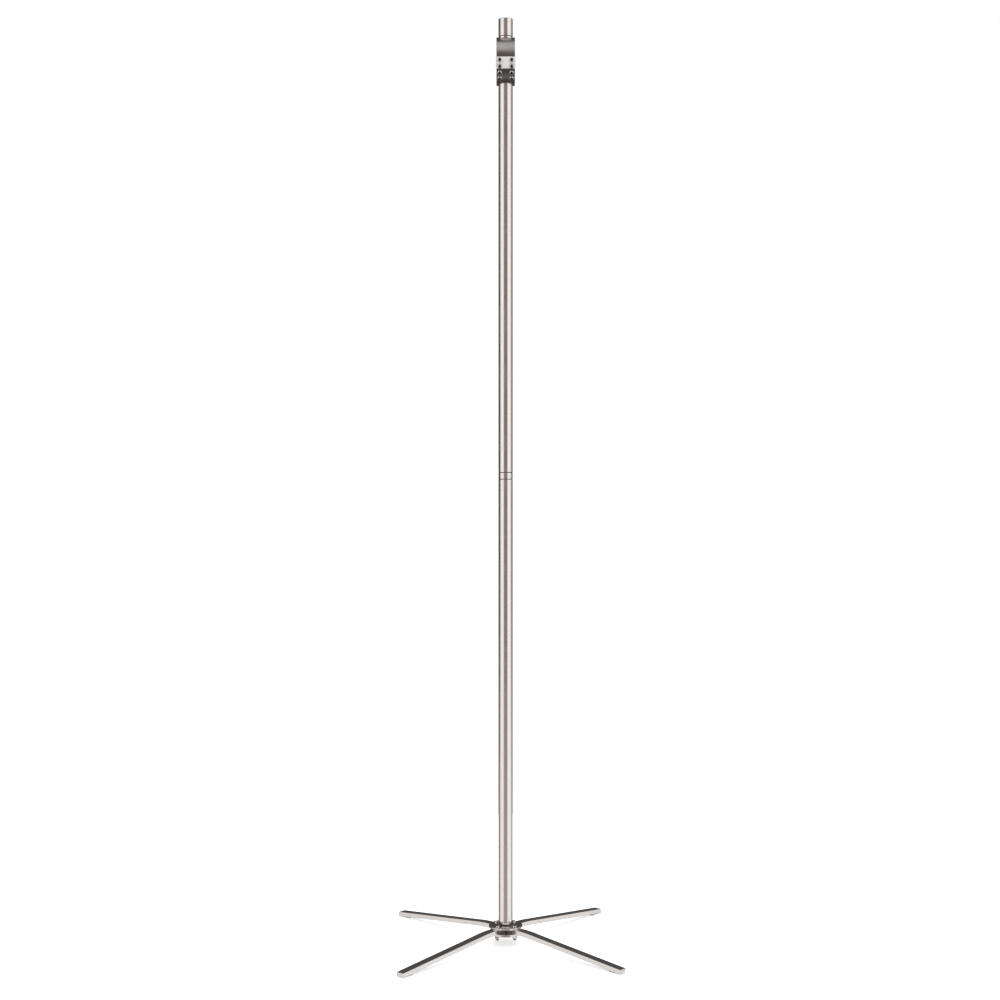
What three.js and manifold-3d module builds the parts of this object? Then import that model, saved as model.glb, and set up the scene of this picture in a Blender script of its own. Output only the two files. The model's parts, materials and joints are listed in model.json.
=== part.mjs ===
// A hospital drip stand: a two-piece stainless pole on four arched flat-bar legs, with a
// horizontal barrel knuckle at the top that lets a short turning stub tilt backwards.
// Millimetres, +Z up, the floor at z = 0 and the pole on the Z axis. The front is -Y, and the
// tilt axis runs left to right, along X.

import * as THREE from 'three';
import { mergeVertices } from 'three/addons/utils/BufferGeometryUtils.js';
import Module from 'manifold-3d';

const wasm = await Module();
wasm.setup();

// ---------------------------------------------------------------- driving dimensions

const POLE_R = 16;
const POLE_WALL = 1.5;
const CLEARANCE = 0.3;
const ROUND = 32;
const SMALL_ROUND = 12;
const BARREL_ROUND = 48;

// base
const LEG_LENGTH = 336;
const LEG_WIDTH = 20;
const LEG_THICKNESS = 10;
const LEG_ROOT = 11.5;
const LEG_ROOT_Z = 28.5;
const LEG_FLAT_TO = 48;
const LEG_BEND_R = 300;
const LEG_YAW = THREE.MathUtils.degToRad(3);
const LEG_EDGE = 0.6;
const PAD_THICKNESS = 1;
const PAD_LENGTH = 26;
const PAD_WIDTH = 15;
const PAD_INSET = 6;
const PAD_GAP = 0.02;
const DISC_R = 38;
const UPPER_DISC_T = 4;
const LOWER_DISC_T = 5;
const DISC_EDGE = 0.6;
const BOLT_CIRCLE_R = 27.6;

// M6 button-head screws, washers and dome nuts
const SCREW_R = 3;
const SCREW_HEAD_R = 5.25;
const SCREW_HEAD_H = 3.3;
const SCREW_RIM_H = 0.5;
const SCREW_CROWN = 0.62;
const SOCKET_FLATS = 4;
const SOCKET_DEPTH = 2;
const NUT_FLATS = 10;
const NUT_HEX_H = 4.8;
const NUT_H = 11;
const NUT_BORE = 8;
const WASHER_R = 6;
const WASHER_T = 1;

// pole
const FOOT_NOSE_H = 10.5;
const FOOT_NECK_R = 7;
const FOOT_BORE = 20;
const CENTRE_BOLT_REACH = 24;
const LOWER_TUBE = 999;
const RING_H = 13.5;
const GROOVE = 1.5;
const GROOVE_R = 15.4;
const INSERT_DEPTH = 45;
const STUD_R = 6;
const STUD_REACH = 22;

// barrel knuckle
const DRUM_Z = 1986;
const DRUM_R = 52.5;
const DRUM_HALF = 20.5;
const CHEEK_T = 2;
const CHEEK_EDGE = 0.5;
const SHELL_T = 3;
const SLOT_HALF = 9;
const TONGUE_HALF = 6.7;
const TONGUE_R = 22;
const FRICTION_R = 20;
const FRICTION_T = 1.7;
const NECK_R = 13;
const NECK_REACH = 26;
const END_PLUG_H = 9;
const SOCKET_TOP = -38;
const SPIGOT = 60;
const SPIGOT_ROOT = 5;
const AXLE_R = 5;
const BUSH_R = 7.5;
const AXLE_HEAD_R = 11;
const AXLE_HEAD_T = 1;
const AXLE_HEAD_EDGE = 0.4;
const STUB_TOP = 95;
const SCREW_COLUMN = 13.2;
const SCREW_REACH = 38;
const SEAT_GAP = 0.1;
const AXLE_SHORT = 1;
const AXLE_THREAD = 14;

// angles round the barrel, in degrees up from the front
const PLATE_TOP = -1;
const PLATE_BOTTOM = -28.8;
const SEAM = 0.45;
const CAP_BACK = 150;
const LOWER_BACK = 196;
const SCREW_ANGLES = [-8.2, -22.7, -39, -54];

// worked out from the above
const TUBE_BORE_R = POLE_R - POLE_WALL;
const INSERT_R = TUBE_BORE_R - CLEARANCE;
const HOLE_R = SCREW_R + CLEARANCE;
const LEG_TOP_Z = LEG_ROOT_Z + LEG_THICKNESS;
const DISC_TOP_Z = LEG_TOP_Z + UPPER_DISC_T;
const LOWER_DISC_Z = LEG_ROOT_Z - LOWER_DISC_T;
const LOWER_TUBE_Z = DISC_TOP_Z + FOOT_NOSE_H;
const RING_Z = LOWER_TUBE_Z + LOWER_TUBE + GROOVE;
const UPPER_TUBE_Z = RING_Z + RING_H + GROOVE;
const UPPER_TUBE_END_Z = DRUM_Z + SOCKET_TOP - CLEARANCE;
const CORE_R = DRUM_R - SHELL_T - CLEARANCE;
const CORE_HALF = DRUM_HALF - CHEEK_T - CLEARANCE;
const NECK_RING_TOP = DRUM_R + 1.6;
const STUB_BOTTOM = NECK_RING_TOP + GROOVE;
const END_CAP_T = 1.6;

// ---------------------------------------------------------------- finishes

const finish = (color, roughness, metalness = 1) => ({ color, roughness, metalness });
const FINISHES = {
  pole: finish(0xc9c3be, 0.28),
  satin: finish(0x8f8a86, 0.42),
  bright: finish(0xe6e4e1, 0.22),
  dark: finish(0x55504c, 0.38),
  leg: finish(0xb9b5b1, 0.26),
  screw: finish(0xd8d5d1, 0.2),
  core: finish(0x77777a, 0.5),
  brass: finish(0xb08d4a, 0.35),
  polymer: finish(0x2b2b2d, 0.7, 0),
  rubber: finish(0x1f1f20, 0.9, 0),
};

const stand = new THREE.Group();

function addPart(name, geometry, look, parent = stand) {
  geometry.computeVertexNormals();
  const material = new THREE.MeshStandardMaterial({ ...FINISHES[look], flatShading: true });
  const mesh = new THREE.Mesh(geometry, material);
  mesh.name = name;
  parent.add(mesh);
  return mesh;
}

// ---------------------------------------------------------------- solids

// Leaves only shared positions and real triangles, and turns the faces outwards.
function closed(geometry) {
  const bare = geometry.clone();
  bare.deleteAttribute('normal');
  bare.deleteAttribute('uv');
  const merged = mergeVertices(bare, 1e-4);
  const p = merged.attributes.position;
  const index = [];
  for (let i = 0; i < merged.index.count; i += 3) {
    const corners = [0, 1, 2].map((k) => merged.index.getX(i + k));
    if (new Set(corners).size === 3) {
      index.push(...corners);
    }
  }
  const [a, b, c] = [new THREE.Vector3(), new THREE.Vector3(), new THREE.Vector3()];
  let volume = 0;
  for (let i = 0; i < index.length; i += 3) {
    a.fromBufferAttribute(p, index[i]);
    b.fromBufferAttribute(p, index[i + 1]);
    c.fromBufferAttribute(p, index[i + 2]);
    volume += a.dot(b.cross(c));
  }
  if (volume < 0) {
    for (let i = 0; i < index.length; i += 3) {
      [index[i], index[i + 1]] = [index[i + 1], index[i]];
    }
  }
  merged.setIndex(index);
  return merged;
}

function solid(geometry) {
  const merged = closed(geometry);
  return new wasm.Manifold(new wasm.Mesh({
    numProp: 3,
    vertProperties: new Float32Array(merged.attributes.position.array),
    triVerts: new Uint32Array(merged.index.array),
  }));
}

function toGeometry(manifold) {
  const mesh = manifold.getMesh();
  const geometry = new THREE.BufferGeometry();
  geometry.setAttribute('position', new THREE.BufferAttribute(mesh.vertProperties, 3));
  geometry.setIndex(new THREE.BufferAttribute(mesh.triVerts, 1));
  return geometry;
}

function cut(base, ...tools) {
  return toGeometry(tools.reduce((body, tool) => body.subtract(solid(tool)), solid(base)));
}

function join(base, ...others) {
  return toGeometry(others.reduce((body, other) => body.add(solid(other)), solid(base)));
}

function common(one, other) {
  return toGeometry(solid(one).intersect(solid(other)));
}

// A body of revolution about Z from [radius, height] points that start and end on the axis,
// or that close on themselves.
function turned(points, segments = ROUND) {
  const profile = points.map(([r, z]) => new THREE.Vector2(r, z));
  return closed(new THREE.LatheGeometry(profile, segments).rotateX(Math.PI / 2));
}

function rod(radius, z0, z1, segments = ROUND) {
  return turned([[0, z0], [radius, z0], [radius, z1], [0, z1]], segments);
}

function tube(outer, inner, z0, z1, segments = ROUND) {
  return turned([[inner, z0], [outer, z0], [outer, z1], [inner, z1], [inner, z0]], segments);
}

function disc(radius, z0, z1, edge) {
  return turned([
    [0, z0],
    [radius - edge, z0],
    [radius, z0 + edge],
    [radius, z1 - edge],
    [radius - edge, z1],
    [0, z1],
  ]);
}

function block(width, depth, z0, z1) {
  return new THREE.BoxGeometry(width, depth, z1 - z0).translate(0, 0, (z0 + z1) / 2);
}

// Turns a body made along Z so that it lies along X, the barrel's axis.
function alongX(geometry) {
  return geometry.rotateY(Math.PI / 2);
}

// ---------------------------------------------------------------- fasteners

// A button-head screw standing on z = 0, its shank reaching down.
function buttonScrew(shank) {
  const crown = [];
  const crownH = SCREW_HEAD_H - SCREW_RIM_H;
  const steps = 2;
  for (let i = 0; i <= steps; i += 1) {
    const t = (i / steps) * (Math.PI / 2);
    crown.push([SCREW_HEAD_R * Math.cos(t * SCREW_CROWN), SCREW_RIM_H + crownH * Math.sin(t)]);
  }
  const body = turned([
    [0, -shank],
    [SCREW_R, -shank],
    [SCREW_R, 0],
    [SCREW_HEAD_R, 0],
    ...crown,
    [0, SCREW_HEAD_H],
  ], SMALL_ROUND);
  const socketR = SOCKET_FLATS / 2 / Math.cos(Math.PI / 6);
  const socket = rod(socketR, SCREW_HEAD_H - SOCKET_DEPTH, SCREW_HEAD_H + 1, 6);
  return cut(body, socket);
}

// A dome nut hanging below z = 0, with a blind hole that the screw reaches into.
function domeNut() {
  const hex = rod(NUT_FLATS / 2 / Math.cos(Math.PI / 6), -NUT_HEX_H, 0, 6);
  const dome = [];
  const steps = 3;
  const height = NUT_H - NUT_HEX_H;
  const domeR = NUT_FLATS / 2 - CLEARANCE;
  for (let i = 0; i <= steps; i += 1) {
    const t = (i / steps) * (Math.PI / 2);
    dome.push([domeR * Math.cos(t), -NUT_HEX_H - height * Math.sin(t)]);
  }
  const cap = turned([[0, -NUT_HEX_H + 1], [domeR, -NUT_HEX_H + 1], ...dome], SMALL_ROUND);
  const hole = rod(HOLE_R, -NUT_BORE, 1, SMALL_ROUND);
  return cut(join(hex, cap), hole);
}

// ---------------------------------------------------------------- base

const base = new THREE.Group();
base.rotation.z = LEG_YAW;
stand.add(base);

const LEGS = [
  { side: 'back_right', angle: Math.PI / 4 },
  { side: 'back_left', angle: (3 * Math.PI) / 4 },
  { side: 'front_left', angle: (5 * Math.PI) / 4 },
  { side: 'front_right', angle: (7 * Math.PI) / 4 },
];

// The slope that carries the leg from the hub down to the pad, found by halving.
function legSlope() {
  const drop = LEG_ROOT_Z - PAD_THICKNESS;
  let [low, high] = [0, 0.5];
  for (let i = 0; i < 40; i += 1) {
    const s = (low + high) / 2;
    const bendEnd = LEG_FLAT_TO + LEG_BEND_R * Math.sin(s);
    const fall = LEG_BEND_R * (1 - Math.cos(s)) + (LEG_LENGTH - bendEnd) * Math.tan(s);
    if (fall < drop) {
      low = s;
    } else {
      high = s;
    }
  }
  return low;
}

const SLOPE = legSlope();

// Height of the leg's underside at a distance from the pole's axis.
function legUnderside(x) {
  const bendEnd = LEG_FLAT_TO + LEG_BEND_R * Math.sin(SLOPE);
  if (x <= LEG_FLAT_TO) {
    return LEG_ROOT_Z;
  }
  if (x <= bendEnd) {
    return LEG_ROOT_Z - LEG_BEND_R + Math.sqrt(LEG_BEND_R ** 2 - (x - LEG_FLAT_TO) ** 2);
  }
  return PAD_THICKNESS + (LEG_LENGTH - x) * Math.tan(SLOPE);
}

// A flat bar along +X: flat at the hub, one soft bend, then straight down to a square tip.
function leg() {
  const bendEnd = LEG_FLAT_TO + LEG_BEND_R * Math.sin(SLOPE);
  const stations = [LEG_ROOT, LEG_FLAT_TO];
  const bendSteps = 5;
  for (let i = 1; i <= bendSteps; i += 1) {
    stations.push(LEG_FLAT_TO + ((bendEnd - LEG_FLAT_TO) * i) / bendSteps);
  }
  stations.push(LEG_LENGTH);
  const under = stations.map((x) => new THREE.Vector2(x, legUnderside(x)));
  const over = stations.map((x) => new THREE.Vector2(x, legUnderside(x) + LEG_THICKNESS));
  const outline = new THREE.Shape([...under, ...over.reverse()]);
  const bar = new THREE.ExtrudeGeometry(outline, {
    depth: LEG_WIDTH - 2 * LEG_EDGE,
    bevelEnabled: true,
    bevelThickness: LEG_EDGE,
    bevelSize: LEG_EDGE,
    bevelOffset: -LEG_EDGE,
    bevelSegments: 1,
  });
  bar.rotateX(Math.PI / 2).translate(0, LEG_WIDTH / 2 - LEG_EDGE, 0);
  const hole = rod(HOLE_R, LEG_ROOT_Z - 1, LEG_TOP_Z + 1, SMALL_ROUND).translate(BOLT_CIRCLE_R, 0, 0);
  return cut(bar, hole);
}

function hubDisc(z0, z1) {
  const holes = LEGS.map(({ angle }) => rod(HOLE_R, z0 - 1, z1 + 1, SMALL_ROUND)
    .translate(BOLT_CIRCLE_R, 0, 0)
    .rotateZ(angle));
  const centre = rod(HOLE_R, z0 - 1, z1 + 1, SMALL_ROUND);
  return cut(disc(DISC_R, z0, z1, DISC_EDGE), ...holes, centre);
}

addPart('hub_upper_disc', hubDisc(LEG_TOP_Z, DISC_TOP_Z), 'leg', base);
addPart('hub_lower_disc', hubDisc(LOWER_DISC_Z, LEG_ROOT_Z), 'leg', base);

const BOLT_SHANK = DISC_TOP_Z - LOWER_DISC_Z + WASHER_T + NUT_BORE - 1;

for (const { side, angle } of LEGS) {
  const arm = new THREE.Group();
  arm.rotation.z = angle;
  base.add(arm);
  addPart(`leg_${side}`, leg(), 'leg', arm);

  addPart(`hub_bolt_${side}`, buttonScrew(BOLT_SHANK), 'screw', arm)
    .position.set(BOLT_CIRCLE_R, 0, DISC_TOP_Z);
  addPart(`hub_washer_${side}`, tube(WASHER_R, HOLE_R, -WASHER_T, 0, SMALL_ROUND), 'screw', arm)
    .position.set(BOLT_CIRCLE_R, 0, LOWER_DISC_Z);
  addPart(`dome_nut_${side}`, domeNut(), 'screw', arm)
    .position.set(BOLT_CIRCLE_R, 0, LOWER_DISC_Z - WASHER_T);

  const padX = LEG_LENGTH - PAD_INSET - PAD_LENGTH / 2;
  const reach = PAD_LENGTH / 2;
  const padTop = [padX - reach, padX + reach].map((x) => legUnderside(x) - PAD_GAP);
  const padOutline = new THREE.Shape([
    new THREE.Vector2(padX - reach, 0),
    new THREE.Vector2(padX + reach, 0),
    new THREE.Vector2(padX + reach, padTop[1]),
    new THREE.Vector2(padX - reach, padTop[0]),
  ]);
  const pad = new THREE.ExtrudeGeometry(padOutline, { depth: PAD_WIDTH, bevelEnabled: false });
  pad.rotateX(Math.PI / 2).translate(0, PAD_WIDTH / 2, 0);
  addPart(`foot_pad_${side}`, closed(pad), 'rubber', arm);
}

// ---------------------------------------------------------------- pole

// A plug in the tube's end with a rounded nose that stands on the hub disc.
function footPlug() {
  const nose = [];
  const steps = 6;
  for (let i = 0; i <= steps; i += 1) {
    const t = (i / steps) * (Math.PI / 2);
    const r = FOOT_NECK_R + (POLE_R - FOOT_NECK_R) * Math.sin(t);
    nose.push([r, DISC_TOP_Z + FOOT_NOSE_H * (1 - Math.cos(t))]);
  }
  const body = turned([
    [0, DISC_TOP_Z],
    ...nose,
    [INSERT_R, LOWER_TUBE_Z],
    [INSERT_R, LOWER_TUBE_Z + INSERT_DEPTH],
    [0, LOWER_TUBE_Z + INSERT_DEPTH],
  ]);
  return cut(body, rod(HOLE_R, DISC_TOP_Z - 1, LOWER_TUBE_Z + FOOT_BORE, SMALL_ROUND));
}

// A plug in the end of a pole tube, with a thin flange that keeps the tube off the ring and
// a threaded bore for the coupling stud.
// direction is +1 for a plug that reaches up from the ring, -1 for one that reaches down.
function tubeInsert(ringZ, direction) {
  const ordered = (near, far) => [
    Math.min(ringZ + direction * near, ringZ + direction * far),
    Math.max(ringZ + direction * near, ringZ + direction * far),
  ];
  const plug = rod(INSERT_R, ...ordered(0, GROOVE + INSERT_DEPTH));
  const flange = rod(GROOVE_R, ...ordered(0, GROOVE - SEAT_GAP));
  const bore = rod(STUD_R + CLEARANCE, ...ordered(-1, STUD_REACH + 2), SMALL_ROUND);
  return cut(join(plug, flange), bore);
}

addPart('pole_foot_plug', footPlug(), 'pole');
const centreShank = DISC_TOP_Z - LOWER_DISC_Z + CENTRE_BOLT_REACH;
const centreBolt = addPart('centre_bolt', buttonScrew(centreShank), 'screw');
centreBolt.rotation.x = Math.PI;
centreBolt.position.z = LOWER_DISC_Z;
addPart('lower_pole_tube',
  tube(POLE_R, TUBE_BORE_R, LOWER_TUBE_Z, LOWER_TUBE_Z + LOWER_TUBE), 'pole');
addPart('lower_tube_insert', tubeInsert(RING_Z, -1), 'satin');
addPart('coupling_ring',
  tube(POLE_R, STUD_R + CLEARANCE, RING_Z, RING_Z + RING_H), 'pole');
addPart('coupling_stud',
  rod(STUD_R, RING_Z - STUD_REACH, RING_Z + RING_H + STUD_REACH, SMALL_ROUND), 'core');
addPart('upper_tube_insert', tubeInsert(RING_Z + RING_H, 1), 'satin');
addPart('upper_pole_tube',
  tube(POLE_R, TUBE_BORE_R, UPPER_TUBE_Z, UPPER_TUBE_END_Z), 'pole');

// ---------------------------------------------------------------- barrel knuckle

// Everything here is drawn about the barrel's centre.
const knuckle = new THREE.Group();
knuckle.position.z = DRUM_Z;
stand.add(knuckle);

// A point in the barrel's side view: how far forward (-Y) and how high.
function aroundDrum(radius, degrees) {
  const a = THREE.MathUtils.degToRad(degrees);
  return new THREE.Vector2(-radius * Math.cos(a), radius * Math.sin(a));
}

// Takes a (Y, Z) outline that was extruded along its own normal, and sets it upright.
function intoSideView(geometry, half) {
  return geometry.rotateX(Math.PI / 2).rotateZ(Math.PI / 2).translate(-half, 0, 0);
}

// A curved plate round the barrel between two angles. The outline is drawn in (Y, Z).
function curvedPlate(fromDegrees, toDegrees) {
  const step = 360 / BARREL_ROUND;
  const count = Math.max(2, Math.ceil((toDegrees - fromDegrees) / step));
  const angles = Array.from({ length: count + 1 },
    (_, i) => fromDegrees + ((toDegrees - fromDegrees) * i) / count);
  const outer = angles.map((d) => aroundDrum(DRUM_R, d));
  const inner = angles.map((d) => aroundDrum(DRUM_R - SHELL_T, d)).reverse();
  const plate = new THREE.ExtrudeGeometry(new THREE.Shape([...outer, ...inner]), {
    depth: 2 * DRUM_HALF,
    bevelEnabled: false,
  });
  return intoSideView(plate, DRUM_HALF);
}

const SCREWS = [];
for (let row = 0; row < 4; row += 1) {
  for (const [side, sign] of [['left', -1], ['right', 1]]) {
    SCREWS.push({ name: `${side}_${row + 1}`, x: sign * SCREW_COLUMN, row });
  }
}

// Sends a body that stands on z = 0 out to a radius and an angle of the barrel's front.
function radially(object, x, radius, degrees) {
  const out = aroundDrum(radius, degrees);
  const direction = aroundDrum(1, degrees);
  object.position.set(x, out.x, out.y);
  object.quaternion.setFromUnitVectors(
    new THREE.Vector3(0, 0, 1),
    new THREE.Vector3(0, direction.x, direction.y),
  );
  return object;
}

function screwHoles(rows) {
  return SCREWS.filter(({ row }) => rows.includes(row)).map(({ x, row }) => {
    const place = radially(new THREE.Object3D(), x, 0, SCREW_ANGLES[row]);
    place.updateMatrix();
    return rod(HOLE_R, SCREW_REACH - 1, DRUM_R + 2, SMALL_ROUND).applyMatrix4(place.matrix);
  });
}

// Two side walls joined at the foot of a central slot, with a spigot down into the pole.
function forkBody() {
  const core = alongX(rod(CORE_R, -CORE_HALF, CORE_HALF, BARREL_ROUND));
  const slotFloor = -(TONGUE_R + 2);
  const slot = block(2 * SLOT_HALF, 3 * CORE_R, slotFloor, 2 * CORE_R);
  const pocket = rod(POLE_R + CLEARANCE, -2 * CORE_R, SOCKET_TOP);
  const bore = alongX(rod(AXLE_R + CLEARANCE, -DRUM_R, DRUM_R, SMALL_ROUND));
  const spigot = rod(INSERT_R, SOCKET_TOP - SPIGOT, SOCKET_TOP + SPIGOT_ROOT);
  const hollowed = cut(core, slot, pocket, bore, ...screwHoles([0, 1, 2, 3]));
  return join(hollowed, spigot);
}

addPart('fork_body', forkBody(), 'core', knuckle);
addPart('front_plate',
  cut(curvedPlate(PLATE_BOTTOM, PLATE_TOP), ...screwHoles([0, 1])), 'bright', knuckle);
addPart('lower_shell', cut(
  curvedPlate(LOWER_BACK - 360, PLATE_BOTTOM - SEAM),
  ...screwHoles([2, 3]),
  rod(POLE_R + CLEARANCE, -2 * DRUM_R, 0),
), 'dark', knuckle);

for (const { name, x, row } of SCREWS) {
  const screw = addPart(`plate_screw_${name}`,
    buttonScrew(DRUM_R - SCREW_REACH), 'screw', knuckle);
  radially(screw, x, DRUM_R + SEAT_GAP, SCREW_ANGLES[row]);
}

for (const [side, sign] of [['left', -1], ['right', 1]]) {
  const plate = cut(
    disc(CORE_R, 0, CHEEK_T, CHEEK_EDGE),
    rod(AXLE_R + CLEARANCE, -1, CHEEK_T + 1, SMALL_ROUND),
  );
  const cheek = addPart(`side_cheek_${side}`, alongX(plate), 'satin', knuckle);
  cheek.position.x = sign > 0 ? DRUM_HALF - CHEEK_T : -DRUM_HALF;
  const washer = alongX(tube(FRICTION_R, AXLE_R + CLEARANCE, 0, FRICTION_T, SMALL_ROUND));
  const friction = addPart(`friction_washer_${side}`, washer, 'polymer', knuckle);
  const washerX = TONGUE_HALF + CLEARANCE;
  friction.position.x = sign > 0 ? washerX : -washerX - FRICTION_T;
}

// The axle: a shaft with a low head on the left, and a cap screw into its right-hand end.
const axleEnd = DRUM_HALF - AXLE_SHORT;
addPart('tilt_axle', alongX(cut(
  join(
    rod(AXLE_R, -DRUM_HALF - AXLE_HEAD_T / 2, axleEnd, SMALL_ROUND),
    disc(AXLE_HEAD_R, -DRUM_HALF - AXLE_HEAD_T, -DRUM_HALF, AXLE_HEAD_EDGE),
  ),
  rod(HOLE_R, axleEnd - AXLE_THREAD, axleEnd + 1, SMALL_ROUND),
)), 'screw', knuckle);
addPart('axle_cap_screw', alongX(join(
  disc(AXLE_HEAD_R, DRUM_HALF, DRUM_HALF + AXLE_HEAD_T, AXLE_HEAD_EDGE),
  rod(SCREW_R, axleEnd - AXLE_THREAD + 2, DRUM_HALF + AXLE_HEAD_T / 2, SMALL_ROUND),
)), 'screw', knuckle);

// ---------------------------------------------------------------- the part that tilts

// A flat tongue in the fork's slot, with a round neck above the barrel.
function tiltTongue() {
  const eye = alongX(rod(TONGUE_R, -TONGUE_HALF, TONGUE_HALF));
  const web = common(
    rod(NECK_R, 0, CORE_R + 1),
    block(2 * TONGUE_HALF, 3 * NECK_R, -1, 2 * CORE_R),
  );
  const neck = rod(NECK_R, CORE_R + CLEARANCE, STUB_BOTTOM + NECK_REACH);
  const bore = alongX(rod(BUSH_R + CLEARANCE, -DRUM_R, DRUM_R, SMALL_ROUND));
  return cut(join(eye, web, neck), bore);
}

addPart('tilt_tongue', tiltTongue(), 'core', knuckle);
addPart('tongue_bush', alongX(
  tube(BUSH_R, AXLE_R + CLEARANCE, -TONGUE_HALF, TONGUE_HALF, SMALL_ROUND),
), 'brass', knuckle);
addPart('tilt_cap', cut(
  curvedPlate(PLATE_TOP + SEAM, CAP_BACK),
  rod(NECK_R + CLEARANCE, 0, 2 * DRUM_R),
), 'satin', knuckle);

// A ring that sits on the barrel, with a low step below the stub.
function neckRing() {
  const body = join(
    rod(POLE_R, 0, NECK_RING_TOP),
    rod(GROOVE_R, NECK_RING_TOP - 1, STUB_BOTTOM - CLEARANCE),
  );
  const saddle = alongX(rod(DRUM_R + SEAT_GAP, -DRUM_R, DRUM_R, 2 * BARREL_ROUND));
  return cut(body, rod(NECK_R + CLEARANCE, -1, STUB_BOTTOM), saddle);
}

addPart('neck_ring', neckRing(), 'pole', knuckle);

// ---------------------------------------------------------------- the stub that turns

addPart('stub_tube',
  tube(POLE_R, NECK_R + CLEARANCE, STUB_BOTTOM, STUB_TOP - END_CAP_T), 'pole', knuckle);

function endCap() {
  const flangeZ = STUB_TOP - END_CAP_T;
  return turned([
    [0, flangeZ - END_PLUG_H],
    [NECK_R, flangeZ - END_PLUG_H],
    [NECK_R, flangeZ],
    [POLE_R, flangeZ],
    [POLE_R, STUB_TOP - 1],
    [POLE_R - 0.4, STUB_TOP - 0.3],
    [POLE_R - 1.4, STUB_TOP],
    [0, STUB_TOP],
  ]);
}

addPart('stub_end_cap', endCap(), 'pole', knuckle);

export default stand;
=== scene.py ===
"""Looks of the drip stand: fine steel bodies, their finishes, the studio and the camera."""

import json
import math

import bmesh
import bpy
from mathutils import Matrix, Vector


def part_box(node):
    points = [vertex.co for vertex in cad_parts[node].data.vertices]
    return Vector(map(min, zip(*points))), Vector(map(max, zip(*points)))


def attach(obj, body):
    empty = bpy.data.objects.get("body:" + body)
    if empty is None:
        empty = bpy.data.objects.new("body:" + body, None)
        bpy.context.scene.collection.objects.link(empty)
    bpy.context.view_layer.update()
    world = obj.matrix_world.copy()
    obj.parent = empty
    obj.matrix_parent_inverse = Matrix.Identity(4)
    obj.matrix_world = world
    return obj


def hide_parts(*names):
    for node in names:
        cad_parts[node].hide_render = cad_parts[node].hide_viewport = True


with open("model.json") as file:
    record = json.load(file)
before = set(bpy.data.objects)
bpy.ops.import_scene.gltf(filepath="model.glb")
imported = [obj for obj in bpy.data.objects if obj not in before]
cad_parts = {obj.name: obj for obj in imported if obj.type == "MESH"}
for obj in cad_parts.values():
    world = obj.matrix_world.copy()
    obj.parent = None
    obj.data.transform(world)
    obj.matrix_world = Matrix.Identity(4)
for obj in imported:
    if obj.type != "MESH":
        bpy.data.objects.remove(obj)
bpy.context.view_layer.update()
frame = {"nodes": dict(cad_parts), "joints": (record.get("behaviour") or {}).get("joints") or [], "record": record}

MM = 0.001
AS_MADE = Matrix.Identity(4)

# ------------------------------------------------------------------ what the frame says

BODIES = frame["record"]["behaviour"]["bodies"]
BODY_OF = {node: body for body, nodes in BODIES.items() for node in nodes}
SLOT_OF = {part["node"]: part["material_slot"] for part in frame["record"]["subparts"]}
LEG_SIDES = ("back_right", "back_left", "front_left", "front_right")
HANDS = (("left", -1), ("right", 1))


def low(node):
    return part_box(node)[0]


def high(node):
    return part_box(node)[1]


def middle(node):
    return (low(node) + high(node)) / 2


# the pole
POLE_R = high("lower_pole_tube").x
POLE_WALL = 1.5 * MM
CLEARANCE = 0.3 * MM
BORE_R = POLE_R - POLE_WALL
PLUG_R = BORE_R - CLEARANCE
LOWER_TUBE = (low("lower_pole_tube").z, high("lower_pole_tube").z)
UPPER_TUBE = (low("upper_pole_tube").z, high("upper_pole_tube").z)
RING_BAND = (low("coupling_ring").z, high("coupling_ring").z)
TUBE_EDGE = 0.3 * MM
GROOVE = UPPER_TUBE[0] - RING_BAND[1]
GROOVE_R = high("lower_tube_insert").x
STUD_R = 6 * MM

# the base
HUB_TOP = high("hub_upper_disc").z
HUB_FOOT = low("hub_lower_disc").z
LEG_SEAT = high("hub_lower_disc").z
LEG_TOP = low("hub_upper_disc").z
LEG_THICKNESS = LEG_TOP - LEG_SEAT
DISC_R = 38 * MM
DISC_EDGE = 0.7 * MM
LEG_WIDTH = 20 * MM
LEG_EDGE = 0.7 * MM
LEG_ROOT = 11.5 * MM
TIP_INSET = 0.2 * MM
LEG_FLAT_TO = 48 * MM
LEG_BEND_R = 300 * MM
LEG_STEEPEST = 0.5
BEND_STEPS = 16
PAD_THICKNESS = low("leg_front_left").z
PAD_LENGTH = 26 * MM
PAD_WIDTH = 15 * MM
PAD_INSET = 6 * MM
PAD_GAP = 0.02 * MM
LEG_LENGTH = middle("foot_pad_front_left").xy.length + PAD_LENGTH / 2 + PAD_INSET
BOLT_CIRCLE_R = middle("hub_bolt_front_left").xy.length
FOOT_NECK_R = 7 * MM

# fasteners
SCREW_R = 3 * MM
HOLE_R = SCREW_R + CLEARANCE
HEAD_R = 5.25 * MM
HEAD_H = 3.3 * MM
HEAD_RIM_H = 0.5 * MM
HEAD_TOP_R = 2.8 * MM
SOCKET_FLATS = 4 * MM
SOCKET_DEPTH = 2 * MM
SOCKET_CHAMFER = 0.5 * MM
RECESS_R = HEAD_TOP_R - 0.1 * MM
NUT_FLATS = 10 * MM
NUT_HEX_H = 4.8 * MM
NUT_BORE = 8 * MM
NUT_CHAMFER = 0.45 * MM
NUT_SEAT = high("dome_nut_front_left").z
NUT_H = NUT_SEAT - low("dome_nut_front_left").z
WASHER_R = 6 * MM

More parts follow.
